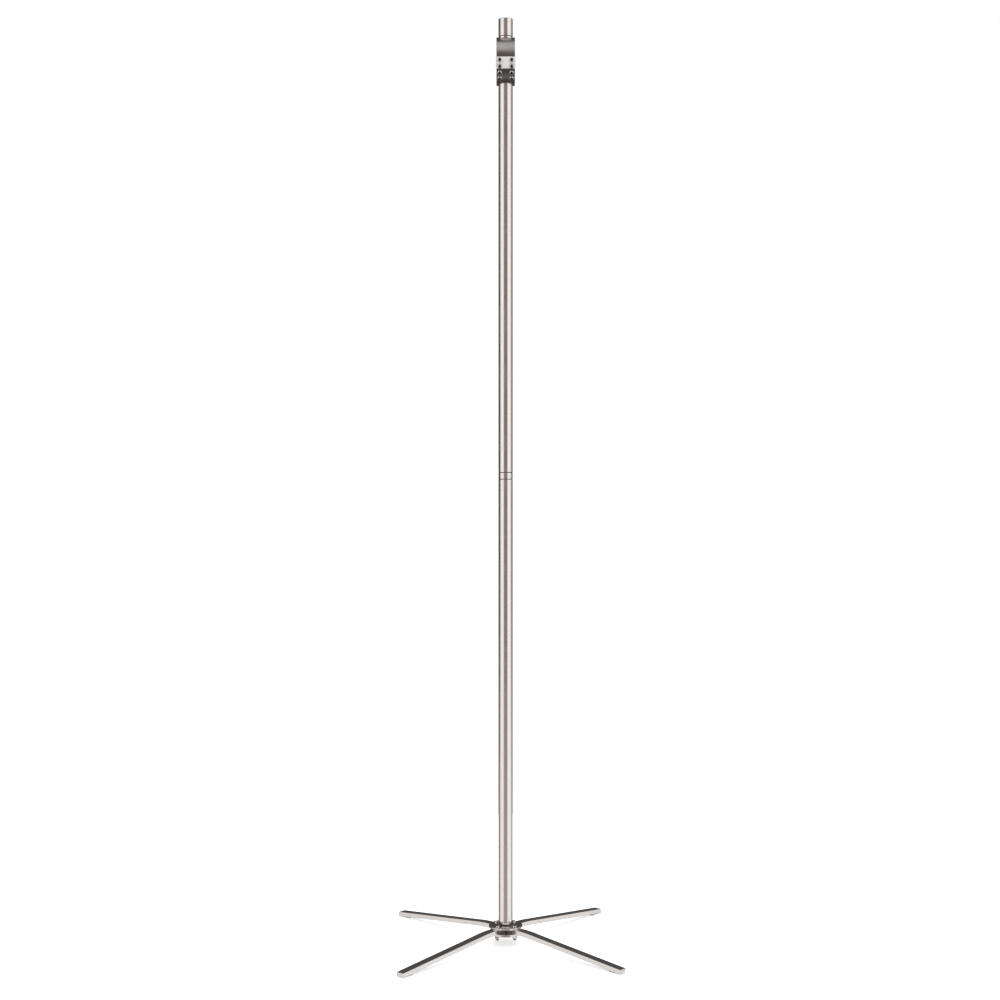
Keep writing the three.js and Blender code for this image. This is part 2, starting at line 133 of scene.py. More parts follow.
# the barrel
JOINTS = {joint["name"]: joint for joint in frame["joints"]}
DRUM = Vector(JOINTS["head_tilt"]["pos_m"])
DRUM_R = max((vertex.co - DRUM).yz.length
             for vertex in frame["nodes"]["front_plate"].data.vertices)
CHEEK_R = high("side_cheek_left").z - DRUM.z
DRUM_HALF = high("side_cheek_right").x
CHEEK_T = DRUM_HALF - low("side_cheek_right").x
SHELL_HALF = high("front_plate").x
SHELL_T = 3 * MM
SHELL_EDGE = 0.4 * MM
CORE_R = high("fork_body").y
TONGUE_R = -(low("tilt_tongue").z - DRUM.z)
TONGUE_HALF = high("tongue_bush").x
SLOT_HALF = 9 * MM
SLOT_FLOOR_GAP = 2 * MM
SPIGOT_ROOT = 5 * MM
SCREW_SHANK = 14.5 * MM
PLATE_ROWS = (1, 2)
SHELL_ROWS = (3, 4)
ALL_ROWS = PLATE_ROWS + SHELL_ROWS
COLLAR_FOOT = 0.8 * DRUM_R
NECK_R = 13 * MM
NECK_STEP_TOP = high("neck_ring").z - DRUM.z
NECK_RING_TOP = low("stub_tube").z - DRUM.z - GROOVE
SOCKET_TOP = high("upper_pole_tube").z + CLEARANCE - DRUM.z
SEAT_GAP = 0.1 * MM
AXLE_R = 5 * MM
BUSH_R = 7.5 * MM
AXLE_HEAD_R = high("tilt_axle").z - DRUM.z
AXLE_HEAD_T = -low("tilt_axle").x - DRUM_HALF
AXLE_SOCKET = 3.2 * MM
AXLE_FLATS = 5 * MM

# angles round the barrel, in radians up from the front
PLATE_TOP = math.asin((high("front_plate").z - DRUM.z) / (DRUM_R - SHELL_T))
PLATE_BOTTOM = math.asin((low("front_plate").z - DRUM.z) / DRUM_R)
SEAM = math.radians(0.45)
CAP_BACK = math.pi - math.acos(high("tilt_cap").y / DRUM_R)
LOWER_BACK = math.pi - math.asin((high("lower_shell").z - DRUM.z) / (DRUM_R - SHELL_T))

# how finely things are made: the sides of a ring, and the steps of a rounded outline
RING = 96
BARREL_RING = 180
DISC_RING = 144
NUT_RING = 72
SMALL_RING = 64
HOLE_RING = 48
CROWN_STEPS = 10
DOME_STEPS = 14
NOSE_STEPS = 18
FILLET_STEPS = 4
DEGREES_PER_STEP = 2
HALVINGS = 40
# points this near the axis are on it, and points this near each other are one
ON_AXIS = 1e-9
WELD = 1e-7
# edges sharper than this shade as sharp, and faces narrower than this show wear
SHARP = math.radians(38)
SLIVER = 0.28 * MM

# small rounded edges
FINE_EDGE = 0.2 * MM
RIM_EDGE = 0.15 * MM
HEAD_EDGE = 0.4 * MM
BODY_EDGE = 0.5 * MM
SPIGOT_EDGE = 0.8 * MM
STUB_EDGE = 1.1 * MM
# the share of its radius that a bar's corner keeps at the bar's ends
LEAST_CORNER = 0.1


# ------------------------------------------------------------------ mesh making

def filleted(points):
    """Rounds an outline's corners. A point is (x, y), or (x, y, corner radius)."""
    outline = []
    for i, point in enumerate(points):
        here = Vector(point[:2])
        radius = point[2] if len(point) > 2 else 0.0
        if radius == 0.0:
            outline.append(here)
            continue
        before = (Vector(points[i - 1][:2]) - here).normalized()
        after = (Vector(points[(i + 1) % len(points)][:2]) - here).normalized()
        half = before.angle(after) / 2
        centre = here + (before + after).normalized() * radius / math.sin(half)
        start = here + before * radius / math.tan(half) - centre
        end = here + after * radius / math.tan(half) - centre
        for step in range(FILLET_STEPS + 1):
            outline.append(centre + start.lerp(end, step / FILLET_STEPS).normalized() * radius)
    return outline


def revolved(points, sides=RING):
    """A closed body of revolution about Z, from an outline of (radius, height) points."""
    bm = bmesh.new()
    rings = []
    for radius, height in filleted(points):
        if radius < ON_AXIS:
            rings.append([bm.verts.new((0, 0, height))])
            continue
        turns = [2 * math.pi * k / sides for k in range(sides)]
        rings.append([bm.verts.new((radius * math.cos(a), radius * math.sin(a), height))
                      for a in turns])
    for ring, other in zip(rings, rings[1:] + rings[:1]):
        if len(ring) == len(other) == 1:
            continue
        for k in range(sides):
            n = (k + 1) % sides
            corners = (ring[k % len(ring)], ring[n % len(ring)],
                       other[n % len(other)], other[k % len(other)])
            bm.faces.new(list(dict.fromkeys(corners)))
    return bm


def rod(radius, z0, z1, edge=0.0, sides=RING):
    """A round bar about Z, with rounded rims."""
    return revolved([(0, z0), (radius, z0, edge), (radius, z1, edge), (0, z1)], sides)


def sleeve(outer, inner, z0, z1, edge=0.0, sides=RING):
    """A tube or ring about Z, with rounded rims."""
    return revolved([(inner, z0, edge), (outer, z0, edge), (outer, z1, edge), (inner, z1, edge)],
                    sides)


def hexagon(flats, z0, z1):
    return rod(flats / 2 / math.cos(math.pi / 6), z0, z1, sides=6)


def block(width, depth, z0, z1):
    """A plain cutter, centred on the Z axis."""
    bm = bmesh.new()
    bmesh.ops.create_cube(bm, size=1.0)
    to_middle = Matrix.Translation((0, 0, (z0 + z1) / 2))
    bm.transform(to_middle @ Matrix.Diagonal((width, depth, z1 - z0, 1)))
    return bm


def moved(bm, matrix):
    bm.transform(matrix)
    return bm


def along_x(bm):
    """Lays a body that was made along Z along X, the barrel's axis."""
    return moved(bm, Matrix.Rotation(math.pi / 2, 4, "Y"))


def rounded_rectangle(width, height, radius):
    x, y = width / 2, height / 2
    return filleted([(-x, -y, radius), (x, -y, radius), (x, y, radius), (-x, y, radius)])


def with_round_ends(start, end, edge, between=()):
    """Stations from start to end, each with its inset, so that the end faces get round edges."""
    turns = [math.pi / 2 * step / FILLET_STEPS for step in range(FILLET_STEPS + 1)]
    ease = [(edge * (1 - math.cos(a)), edge * (1 - math.sin(a))) for a in turns]
    first = [(start + along, inset) for along, inset in ease]
    last = [(end - along, inset) for along, inset in reversed(ease)]
    return first + [(station, 0.0) for station in between] + last


def lofted(stations, width, height, edge, place):
    """A bar of rounded rectangular section. place(station, across, up) gives a point."""
    bm = bmesh.new()
    loops = []
    for station, inset in stations:
        corner = max(edge - inset, LEAST_CORNER * edge)
        section = rounded_rectangle(width - 2 * inset, height - 2 * inset, corner)
        loops.append([bm.verts.new(place(station, across, up)) for across, up in section])
    for loop, other in zip(loops, loops[1:]):
        for k in range(len(loop)):
            n = (k + 1) % len(loop)
            bm.faces.new((loop[k], loop[n], other[n], other[k]))
    bm.faces.new(loops[0])
    bm.faces.new(loops[-1])
    return bm


def face_outward(bm):
    """Turns the faces of a closed body outwards."""
    bmesh.ops.recalc_face_normals(bm, faces=bm.faces)
    if bm.calc_volume(signed=True) < 0:
        bmesh.ops.reverse_faces(bm, faces=bm.faces)


def scratch_object(bm):
    face_outward(bm)
    mesh = bpy.data.meshes.new("scratch")
    bm.to_mesh(mesh)
    bm.free()
    obj = bpy.data.objects.new("scratch", mesh)
    bpy.context.scene.collection.objects.link(obj)
    return obj


def carved(bm, operation, *tools):
    """The body joined with, cut by or kept in common with the tools."""
    body = scratch_object(bm)
    others = [scratch_object(tool) for tool in tools]
    for other in others:
        modifier = body.modifiers.new("carve", "BOOLEAN")
        modifier.operation = operation
        modifier.solver = "EXACT"
        modifier.object = other
    graph = bpy.context.evaluated_depsgraph_get()
    made = bpy.data.meshes.new_from_object(body.evaluated_get(graph))
    result = bmesh.new()
    result.from_mesh(made)
    bmesh.ops.remove_doubles(result, verts=result.verts, dist=WELD)
    for obj in (body, *others):
        bpy.data.meshes.remove(obj.data)
    bpy.data.meshes.remove(made)
    return result


def mark_worn_edges(mesh):
    """Gives each face 1 if it is one of the narrow strips round an edge, or else 0."""
    lengths = [(mesh.vertices[e.vertices[0]].co - mesh.vertices[e.vertices[1]].co).length
               for e in mesh.edges]
    worn = []
    for face in mesh.polygons:
        longest = max(lengths[mesh.loops[i].edge_index] for i in face.loop_indices)
        worn.append(float(face.area / longest < SLIVER))
    mesh.attributes.new("worn", "FLOAT", "FACE").data.foreach_set("value", worn)


def mark_recesses(mesh, sunk):
    """Gives each face 1 if it is down in a groove or a socket, or else 0; the metal paints shade on the faces
    marked 1.
    """
    marks = [float(sunk(face.center)) for face in mesh.polygons]
    mesh.attributes.new("recess_shade", "FLOAT", "FACE").data.foreach_set("value", marks)
    return mesh


def mesh_of(name, bm):
    face_outward(bm)
    for face in bm.faces:
        face.smooth = True
    mesh = bpy.data.meshes.new(name)
    bm.to_mesh(mesh)
    bm.free()
    mesh.set_sharp_from_angle(angle=SHARP)
    mark_worn_edges(mesh)
    return mesh


def show(node, shape, place=AS_MADE):
    """Shows a fine mesh in place of a CAD node, on the node's body and with its finish."""
    name = node + "_fine"
    mesh = mesh_of(name, shape) if isinstance(shape, bmesh.types.BMesh) else shape
    if not mesh.materials:
        mesh.materials.append(FINISHES[SLOT_OF[node]])
    obj = bpy.data.objects.new(name, mesh)
    bpy.context.scene.collection.objects.link(obj)
    obj.matrix_world = place
    even = obj.modifiers.new("even shading", "WEIGHTED_NORMAL")
    even.keep_sharp = True
    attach(obj, BODY_OF[node])
    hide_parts(node)


# ------------------------------------------------------------------ finishes

class Nodes:
    """Short ways to add and join shader nodes."""

    def __init__(self, tree):
        self.tree = tree

    def add(self, kind, **inputs):
        node = self.tree.nodes.new("ShaderNode" + kind)
        for name, value in inputs.items():
            self.put(node.inputs[name.replace("_", " ")], value)
        return node

    def put(self, socket, value):
        if isinstance(value, bpy.types.NodeSocket):
            self.tree.links.new(value, socket)
        else:
            socket.default_value = value

    def math(self, operation, first, second=0.0):
        node = self.tree.nodes.new("ShaderNodeMath")
        node.operation = operation
        self.put(node.inputs[0], first)
        self.put(node.inputs[1], second)
        return node.outputs[0]

    def spread(self, value, to_low, to_high, from_low=0.35, from_high=0.65):
        """Maps a range to a new one. By default the old one is where most of a noise lies."""
        node = self.add("MapRange", Value=value)
        for i, number in enumerate((from_low, from_high, to_low, to_high)):
            node.inputs[i + 1].default_value = number
        return node.outputs[0]

    def mixed(self, share, first, second):
        """Mixes two colours. The node takes them at inputs 6 and 7 and gives output 2."""
        node = self.tree.nodes.new("ShaderNodeMix")
        node.data_type = "RGBA"
        self.put(node.inputs["Factor"], share)
        self.put(node.inputs[6], first)
        self.put(node.inputs[7], second)
        return node.outputs[2]

    def noise(self, vector, scale, detail=2.0, roughness=0.5):
        node = self.add("TexNoise", Vector=vector, Scale=scale, Detail=detail,
                        Roughness=roughness)
        return node.outputs["Fac"]

    def stretched(self, vector, scale):
        node = self.add("VectorMath")
        node.operation = "MULTIPLY"
        self.put(node.inputs[0], vector)
        self.put(node.inputs[1], scale)
        return node.outputs[0]

    def length(self, vector):
        node = self.add("VectorMath")
        node.operation = "LENGTH"
        self.put(node.inputs[0], vector)
        return node.outputs["Value"]


# How fast a pattern changes, per metre: across the lines of a brush or lathe tool, in patches
# of handling marks and where edges are worn.
LINES = 3200
PATCHES = 28.0
WEAR = 420.0
# The same along X, Y and Z, for each direction that the brush lines run in.
AROUND_POLE = (24, 24, LINES)
ALONG_LEG = (18, 2600, 2600)
AROUND_BARREL = (LINES, 24, 24)
NO_LINES = (900, 900, 900)
# The detail and roughness of the noise that makes lines and grain, and that makes marks.
GRAIN_NOISE = (3.0, 0.6)
MARKS_NOISE = (3.0, 0.55)

# On metal: the least wear on an edge and the polish it gives, the most haze from handling, the
# roughness that the lines add or take, what a recess keeps of its colour under painted shade, and the lines'
# depth.
LEAST_WEAR = 0.35
POLISH = 0.06
HAZE = 0.18
LINE_ROUGHNESS = 0.02
# painted shade: sockets and grooves keep only this share of their colour
RECESS_SHADE = 0.06
LINE_DEPTH = 0.05 * MM
# On rubber and polymer: how much larger dust patches are than the grain, the most dust, what
# it does to a colour, the roughness that the grain adds or takes, the shine and the depth.
DUST_SIZE = 25
DUST = 0.7
DUST_GAIN = 1.6
DUST_LIFT = 0.01
GRAIN_ROUGHNESS = 0.08
MATT_SPECULAR = 0.35
GRAIN_DEPTH = 0.2 * MM


def brushed(nodes, position, lines):
    return nodes.noise(nodes.stretched(position, lines), 1.0, *GRAIN_NOISE)


def turned(nodes, position, plane):
    """Fine rings about the object's own centre, in the plane whose axes are marked by 1."""
    radius = nodes.length(nodes.stretched(position, plane))
    across = nodes.add("CombineXYZ", X=nodes.math("MULTIPLY", radius, LINES))
    return nodes.noise(across.outputs[0], 1.0, *GRAIN_NOISE)


def metal(name, color, roughness, lines=None, plane=None, metallic=1.0, tone=0.06,
          smudge=0.05, relief=0.05, wear=0.35, around=None, anisotropic=0.0):
    """A metal with brush or turning lines, faint handling marks, brighter worn edges and painted
    shade darkening its recesses."""
    material = bpy.data.materials.new(name)
    material.use_nodes = True
    nodes = Nodes(material.node_tree)
    shader = material.node_tree.nodes["Principled BSDF"]
    position = nodes.add("TexCoord").outputs["Object"]
    grain = turned(nodes, position, plane) if plane else brushed(nodes, position, lines)
    marks = nodes.noise(position, PATCHES, *MARKS_NOISE)
    worn = nodes.add("Attribute")
    worn.attribute_name = "worn"
    patchy = nodes.spread(nodes.noise(position, WEAR), LEAST_WEAR, 1.0)
    edge = nodes.math("MULTIPLY", worn.outputs["Fac"], patchy)
    recess_shade = nodes.add("Attribute")
    recess_shade.attribute_name = "recess_shade"
    sunk = recess_shade.outputs["Fac"]

    dark = (*(c * (1 - tone) for c in color), 1)
    light = (*(min(1.0, c * (1 + tone)) for c in color), 1)
    bright = (*(c + (1 - c) * wear for c in color), 1)
    body = nodes.mixed(nodes.spread(grain, 0.0, 1.0), dark, light)
    hazed = nodes.mixed(nodes.spread(marks, 0.0, HAZE), body, dark)
    # painted shade: faces marked as recessed get this near-black copy of the colour
    painted_shade_color = (*(c * RECESS_SHADE for c in color), 1)
    nodes.put(shader.inputs["Base Color"],
              nodes.mixed(sunk, nodes.mixed(edge, hazed, bright), painted_shade_color))

    hazy = nodes.spread(marks, roughness - smudge / 2, roughness + smudge)
    lined = nodes.math("ADD", hazy, nodes.spread(grain, -LINE_ROUGHNESS, LINE_ROUGHNESS))
    nodes.put(shader.inputs["Roughness"],
              nodes.math("SUBTRACT", lined, nodes.math("MULTIPLY", edge, POLISH)))

    bump = nodes.add("Bump", Strength=relief, Distance=LINE_DEPTH, Height=grain)
    nodes.put(shader.inputs["Normal"], bump.outputs[0])
    shader.inputs["Metallic"].default_value = metallic
    if around:
        tangent = nodes.add("Tangent")
        tangent.direction_type = "RADIAL"
        tangent.axis = around
        nodes.put(shader.inputs["Tangent"], tangent.outputs[0])
        shader.inputs["Anisotropic"].default_value = anisotropic
    return material


def matt(name, color, roughness, scale, relief):
    """Rubber or polymer, with a fine moulded grain."""
    material = bpy.data.materials.new(name)
    material.use_nodes = True
    nodes = Nodes(material.node_tree)
    shader = material.node_tree.nodes["Principled BSDF"]
    position = nodes.add("TexCoord").outputs["Object"]
    grain = nodes.noise(position, scale, *GRAIN_NOISE)
    dust = nodes.noise(position, scale / DUST_SIZE)
    dusty = (*(c * DUST_GAIN + DUST_LIFT for c in color), 1)
    nodes.put(shader.inputs["Base Color"],
              nodes.mixed(nodes.spread(dust, 0.0, DUST), (*color, 1), dusty))
    nodes.put(shader.inputs["Roughness"],
              nodes.spread(grain, roughness - GRAIN_ROUGHNESS, roughness + GRAIN_ROUGHNESS))
    bump = nodes.add("Bump", Strength=relief, Distance=GRAIN_DEPTH, Height=grain)
    nodes.put(shader.inputs["Normal"], bump.outputs[0])
    shader.inputs["Specular IOR Level"].default_value = MATT_SPECULAR
    return material


FINISHES = {
    "pole_steel": metal("pole_steel", (0.74, 0.715, 0.70), 0.17, AROUND_POLE, tone=0.03,
                        relief=0.02, around="Z", anisotropic=0.45),
    "leg_steel": metal("leg_steel", (0.70, 0.675, 0.66), 0.2, ALONG_LEG, tone=0.04,
                       relief=0.02),
    "hub_steel": metal("hub_steel", (0.62, 0.60, 0.585), 0.08, plane=(1, 1, 0), tone=0.04,
                       smudge=0.03, relief=0.02),
    "fastener_steel": metal("fastener_steel", (0.58, 0.567, 0.553), 0.12, plane=(1, 1, 0),
                            tone=0.03, relief=0.02),
    "core_aluminium": metal("core_aluminium", (0.42, 0.42, 0.43), 0.42, NO_LINES, tone=0.08),
    "plate_bright": metal("plate_bright", (0.97, 0.965, 0.955), 0.36, AROUND_BARREL,
                          metallic=0.18, tone=0.015, relief=0.015, around="X",
                          anisotropic=0.3),
    # the lower shell's dark base colour is partly its own darker finish and partly painted shade, for the dark
    # ground that its down-facing curve reflects
    "shell_dark": metal("shell_dark", (0.29, 0.273, 0.261), 0.25, AROUND_BARREL, tone=0.1,
                        around="X", anisotropic=0.3),
    "cap_satin": metal("cap_satin", (0.29, 0.279, 0.271), 0.26, AROUND_BARREL, tone=0.08,
                       around="X", anisotropic=0.3),
    "cheek_steel": metal("cheek_steel", (0.46, 0.445, 0.43), 0.3, plane=(0, 1, 1), tone=0.04,
                         smudge=0.02),
    "bush_bronze": metal("bush_bronze", (0.62, 0.42, 0.2), 0.35, AROUND_BARREL, tone=0.08),
    "pad_rubber": matt("pad_rubber", (0.36, 0.355, 0.345), roughness=0.7, scale=1400.0,
                       relief=0.35),
    "friction_polymer": matt("friction_polymer", (0.045, 0.045, 0.05), roughness=0.6,
                             scale=2200.0, relief=0.2),
}


# ------------------------------------------------------------------ fasteners

def socket_cutters(flats, top, depth):
    """A hexagon key's recess, with a chamfered mouth."""
    corner = flats / 2 / math.cos(math.pi / 6)
    inside, outside = top - SOCKET_CHAMFER, top + SOCKET_CHAMFER
    mouth = revolved([(0, inside), (corner - SOCKET_CHAMFER / 2, inside),
                      (corner + SOCKET_CHAMFER, outside), (0, outside)], HOLE_RING)
    return hexagon(flats, top - depth, top + MM), mouth


def button_screw(shank):
    """A button-head screw standing on z = 0, its shank reaching down."""
    crown = []
    for step in range(CROWN_STEPS + 1):
        a = math.pi / 2 * step / CROWN_STEPS
        crown.append((HEAD_TOP_R + (HEAD_R - HEAD_TOP_R) * math.cos(a),
                      HEAD_RIM_H + (HEAD_H - HEAD_RIM_H) * math.sin(a)))
    body = revolved([
        (0, -shank),
        (SCREW_R, -shank, BODY_EDGE),
        (SCREW_R, 0),
        (HEAD_R, 0, RIM_EDGE),
        *crown,
        (0, HEAD_H),
    ], SMALL_RING)
    screw = carved(body, "DIFFERENCE", *socket_cutters(SOCKET_FLATS, HEAD_H, SOCKET_DEPTH))
    # the hex socket is marked here, so the metal paints shade in it
    return mark_recesses(mesh_of("button_screw", screw),
                         lambda at: at.z > MM and at.xy.length < RECESS_R)


def dome_nut():
    """A dome nut hanging below z = 0, with a blind hole for the bolt."""
    corner = NUT_FLATS / 2 / math.cos(math.pi / 6)
    face_r = corner - 2 * NUT_CHAMFER
    envelope = revolved([(0, -NUT_HEX_H), (face_r, -NUT_HEX_H),
                         (corner, -NUT_HEX_H + NUT_CHAMFER), (corner, -NUT_CHAMFER),
                         (face_r, 0), (0, 0)], NUT_RING)
    hexed = carved(hexagon(NUT_FLATS, -NUT_HEX_H - MM, MM), "INTERSECT", envelope)
    dome_r = NUT_FLATS / 2 - CLEARANCE
    dome = []
    for step in range(DOME_STEPS + 1):
        a = math.pi / 2 * step / DOME_STEPS
        dome.append((dome_r * math.cos(a), -NUT_HEX_H - (NUT_H - NUT_HEX_H) * math.sin(a)))
    cap = revolved([(0, -NUT_HEX_H + MM), (dome_r, -NUT_HEX_H + MM), *dome], NUT_RING)
    whole = carved(hexed, "UNION", cap)
    return carved(whole, "DIFFERENCE", rod(HOLE_R, -NUT_BORE, MM, sides=HOLE_RING))


# ------------------------------------------------------------------ base

def leg_slope():
    """The slope that takes the leg from the hub down to its pad, found by halving."""
    drop = LEG_SEAT - PAD_THICKNESS
    shallow, steep = 0.0, LEG_STEEPEST
    for _ in range(HALVINGS):
        slope = (shallow + steep) / 2
        bend_end = LEG_FLAT_TO + LEG_BEND_R * math.sin(slope)
        fall = LEG_BEND_R * (1 - math.cos(slope)) + (LEG_LENGTH - bend_end) * math.tan(slope)
        if fall < drop:
            shallow = slope
        else:
            steep = slope
    return shallow


SLOPE = leg_slope()
BEND_END = LEG_FLAT_TO + LEG_BEND_R * math.sin(SLOPE)


def leg_underside(x):
    if x <= LEG_FLAT_TO:
        return LEG_SEAT
    if x <= BEND_END:
        return LEG_SEAT - LEG_BEND_R + math.sqrt(LEG_BEND_R ** 2 - (x - LEG_FLAT_TO) ** 2)
    return PAD_THICKNESS + (LEG_LENGTH - x) * math.tan(SLOPE)


def leg():
    """A flat bar along +X: flat at the hub, one soft bend, then straight to a square tip."""
    bend = [LEG_FLAT_TO + (BEND_END - LEG_FLAT_TO) * step / BEND_STEPS
            for step in range(BEND_STEPS + 1)]
    stations = with_round_ends(LEG_ROOT, LEG_LENGTH - TIP_INSET, LEG_EDGE, bend)
    bar = lofted(stations, LEG_WIDTH, LEG_THICKNESS, LEG_EDGE,
                 lambda x, across, up: (x, across, leg_underside(x) + LEG_THICKNESS / 2 + up))
    hole = moved(rod(HOLE_R, LEG_SEAT - MM, LEG_TOP + MM, sides=HOLE_RING),
                 Matrix.Translation((BOLT_CIRCLE_R, 0, 0)))
    return carved(bar, "DIFFERENCE", hole)


def foot_pad():
    """A thin wedge of rubber under the tip, flat on the floor."""
    start = LEG_LENGTH - PAD_INSET - PAD_LENGTH
    stations = with_round_ends(start, start + PAD_LENGTH, FINE_EDGE)

    def place(x, across, up):
        share = 0.5 + up / PAD_THICKNESS
        return (x, across, share * (leg_underside(x) - PAD_GAP))

    return lofted(stations, PAD_WIDTH, PAD_THICKNESS, FINE_EDGE, place)


def turned_to(node):
    """The turn about the pole's axis that brings +X to a node."""
    centre = middle(node)
    return Matrix.Rotation(math.atan2(centre.y, centre.x), 4, "Z")


def hub_disc(z0, z1):
    holes = [moved(rod(HOLE_R, z0 - MM, z1 + MM, sides=HOLE_RING),
                   turned_to(f"foot_pad_{side}") @ Matrix.Translation((BOLT_CIRCLE_R, 0, 0)))
             for side in LEG_SIDES]
    return carved(rod(DISC_R, z0, z1, DISC_EDGE, DISC_RING), "DIFFERENCE", *holes)


def make_base():
    show("hub_upper_disc", hub_disc(LEG_TOP, HUB_TOP))
    show("hub_lower_disc", hub_disc(HUB_FOOT, LEG_SEAT))
    washer = sleeve(WASHER_R, HOLE_R, NUT_SEAT - HUB_FOOT, 0, RIM_EDGE, SMALL_RING)
    bolt = button_screw(HUB_TOP - NUT_SEAT + NUT_BORE - MM)
    # each shape, with how far out from the pole and how high up it goes
    pieces = {
        "leg": (mesh_of("leg", leg()), 0.0, 0.0),
        "foot_pad": (mesh_of("foot_pad", foot_pad()), 0.0, 0.0),
        "hub_bolt": (bolt, BOLT_CIRCLE_R, HUB_TOP),
        "hub_washer": (mesh_of("hub_washer", washer), BOLT_CIRCLE_R, HUB_FOOT),
        "dome_nut": (mesh_of("dome_nut", dome_nut()), BOLT_CIRCLE_R, NUT_SEAT),
    }
    for side in LEG_SIDES:
        turn = turned_to(f"foot_pad_{side}")
        for kind, (shape, radius, height) in pieces.items():
            show(f"{kind}_{side}", shape, turn @ Matrix.Translation((radius, 0, height)))


# ------------------------------------------------------------------ pole

def foot_plug():
    """A plug in the tube's end with a rounded nose that stands on the hub."""
    nose = []
    for step in range(NOSE_STEPS + 1):
        a = math.pi / 2 * step / NOSE_STEPS
        nose.append((FOOT_NECK_R + (POLE_R - FOOT_NECK_R) * math.sin(a),
                     HUB_TOP + (LOWER_TUBE[0] - HUB_TOP) * (1 - math.cos(a))))
    top = high("pole_foot_plug").z
    return revolved([(0, HUB_TOP), *nose, (PLUG_R, LOWER_TUBE[0]), (PLUG_R, top, MM), (0, top)])


def tube_insert(node):
    """A plug that reaches up from z = 0, with a thin flange in the groove below the tube."""
    reach = high(node).z - low(node).z
    bore = STUD_R + CLEARANCE
    plug = revolved([(bore, 0), (GROOVE_R, 0), (GROOVE_R, GROOVE - SEAT_GAP),
                     (PLUG_R, GROOVE - SEAT_GAP), (PLUG_R, reach, MM), (bore, reach)])
    # the flange down in the groove is marked here, so the metal paints shade on it
    return mark_recesses(mesh_of(node, plug), lambda at: at.xy.length > PLUG_R)


def make_pole():
    show("pole_foot_plug", foot_plug())
    show("lower_pole_tube", sleeve(POLE_R, BORE_R, *LOWER_TUBE, TUBE_EDGE))
    show("coupling_ring", sleeve(POLE_R, STUD_R + CLEARANCE, *RING_BAND, TUBE_EDGE))
    show("upper_pole_tube", sleeve(POLE_R, BORE_R, *UPPER_TUBE, TUBE_EDGE))
    show("lower_tube_insert", tube_insert("lower_tube_insert"),
         Matrix.Translation((0, 0, RING_BAND[0])) @ Matrix.Rotation(math.pi, 4, "X"))
    show("upper_tube_insert", tube_insert("upper_tube_insert"),
         Matrix.Translation((0, 0, RING_BAND[1])))
    stud = rod(STUD_R, low("coupling_stud").z, high("coupling_stud").z, SPIGOT_EDGE)
    show("coupling_stud", stud)
    upside_down = Matrix.Translation((0, 0, HUB_FOOT)) @ Matrix.Rotation(math.pi, 4, "X")
    show("centre_bolt", button_screw(high("centre_bolt").z - HUB_FOOT), upside_down)


# ------------------------------------------------------------------ barrel knuckle

AT_DRUM = Matrix.Translation(DRUM)


def curved_plate(start, end):
    """A plate round the barrel between two angles, with round edges."""
    steps = max(2, round(math.degrees(end - start) / DEGREES_PER_STEP))
    between = [DRUM_R * (start + (end - start) * step / steps) for step in range(1, steps)]
    stations = with_round_ends(start * DRUM_R, end * DRUM_R, SHELL_EDGE, between)

    def place(station, across, out):
        angle = station / DRUM_R
        radius = DRUM_R - SHELL_T / 2 + out
        return (across, -radius * math.cos(angle), radius * math.sin(angle))

    return lofted(stations, 2 * SHELL_HALF, SHELL_T, SHELL_EDGE, place)


def plate_screws():
    """Each plate screw with its place: its head sits on the barrel, square to the surface."""
    placed = {}
    for hand, _ in HANDS:
        for row in ALL_ROWS:
            node = f"plate_screw_{hand}_{row}"
            points = [vertex.co for vertex in frame["nodes"][node].data.vertices]
            centre = sum(points, Vector()) / len(points) - DRUM
            outward = Vector((0, centre.y, centre.z)).normalized()
            tip = outward * (DRUM_R + SEAT_GAP) + Vector((middle(node).x, 0, 0))
            turn = Vector((0, 0, 1)).rotation_difference(outward).to_matrix().to_4x4()
            placed[node] = Matrix.Translation(tip) @ turn
    return placed


SCREWS = plate_screws()


def screw_holes(rows):
    """Cutters for the holes of the screws in some rows, counted from the top."""
    return [moved(rod(HOLE_R, -SCREW_SHANK - MM, 2 * MM, sides=HOLE_RING), place)
            for node, place in SCREWS.items() if int(node[-1]) in rows]


def fork_body():
    """Two side walls joined at the foot of a slot, with a spigot down into the pole."""
    half = high("fork_body").x
    core = along_x(rod(CORE_R, -half, half, BODY_EDGE, BARREL_RING))
    slot = block(2 * SLOT_HALF, 3 * CORE_R, -(TONGUE_R + SLOT_FLOOR_GAP), 2 * CORE_R)
    pocket = rod(POLE_R + CLEARANCE, -2 * CORE_R, SOCKET_TOP)
    bore = along_x(rod(AXLE_R + CLEARANCE, -DRUM_R, DRUM_R, sides=HOLE_RING))
    hollowed = carved(core, "DIFFERENCE", slot, pocket, bore, *screw_holes(ALL_ROWS))
    spigot = rod(PLUG_R, low("fork_body").z - DRUM.z, SOCKET_TOP + SPIGOT_ROOT, MM)
    return carved(hollowed, "UNION", spigot)


def tilt_tongue():
    """A flat tongue in the fork's slot, with a round neck above the barrel."""
    eye = along_x(rod(TONGUE_R, -TONGUE_HALF, TONGUE_HALF, BODY_EDGE))
    web = carved(rod(NECK_R, 0, CORE_R + MM), "INTERSECT",
                 block(2 * TONGUE_HALF - SEAT_GAP, 3 * NECK_R, -MM, 2 * CORE_R))
    neck = rod(NECK_R, CORE_R + CLEARANCE, high("tilt_tongue").z - DRUM.z, SPIGOT_EDGE)
    whole = carved(eye, "UNION", web, neck)
    bore = along_x(rod(BUSH_R + CLEARANCE, -DRUM_R, DRUM_R, sides=HOLE_RING))
    return carved(whole, "DIFFERENCE", bore)


def cheek():
    """A thin disc that closes one side of the barrel, about its own middle."""
    half = CHEEK_T / 2
    return along_x(sleeve(CHEEK_R, AXLE_R + CLEARANCE, -half, half, BODY_EDGE, BARREL_RING))


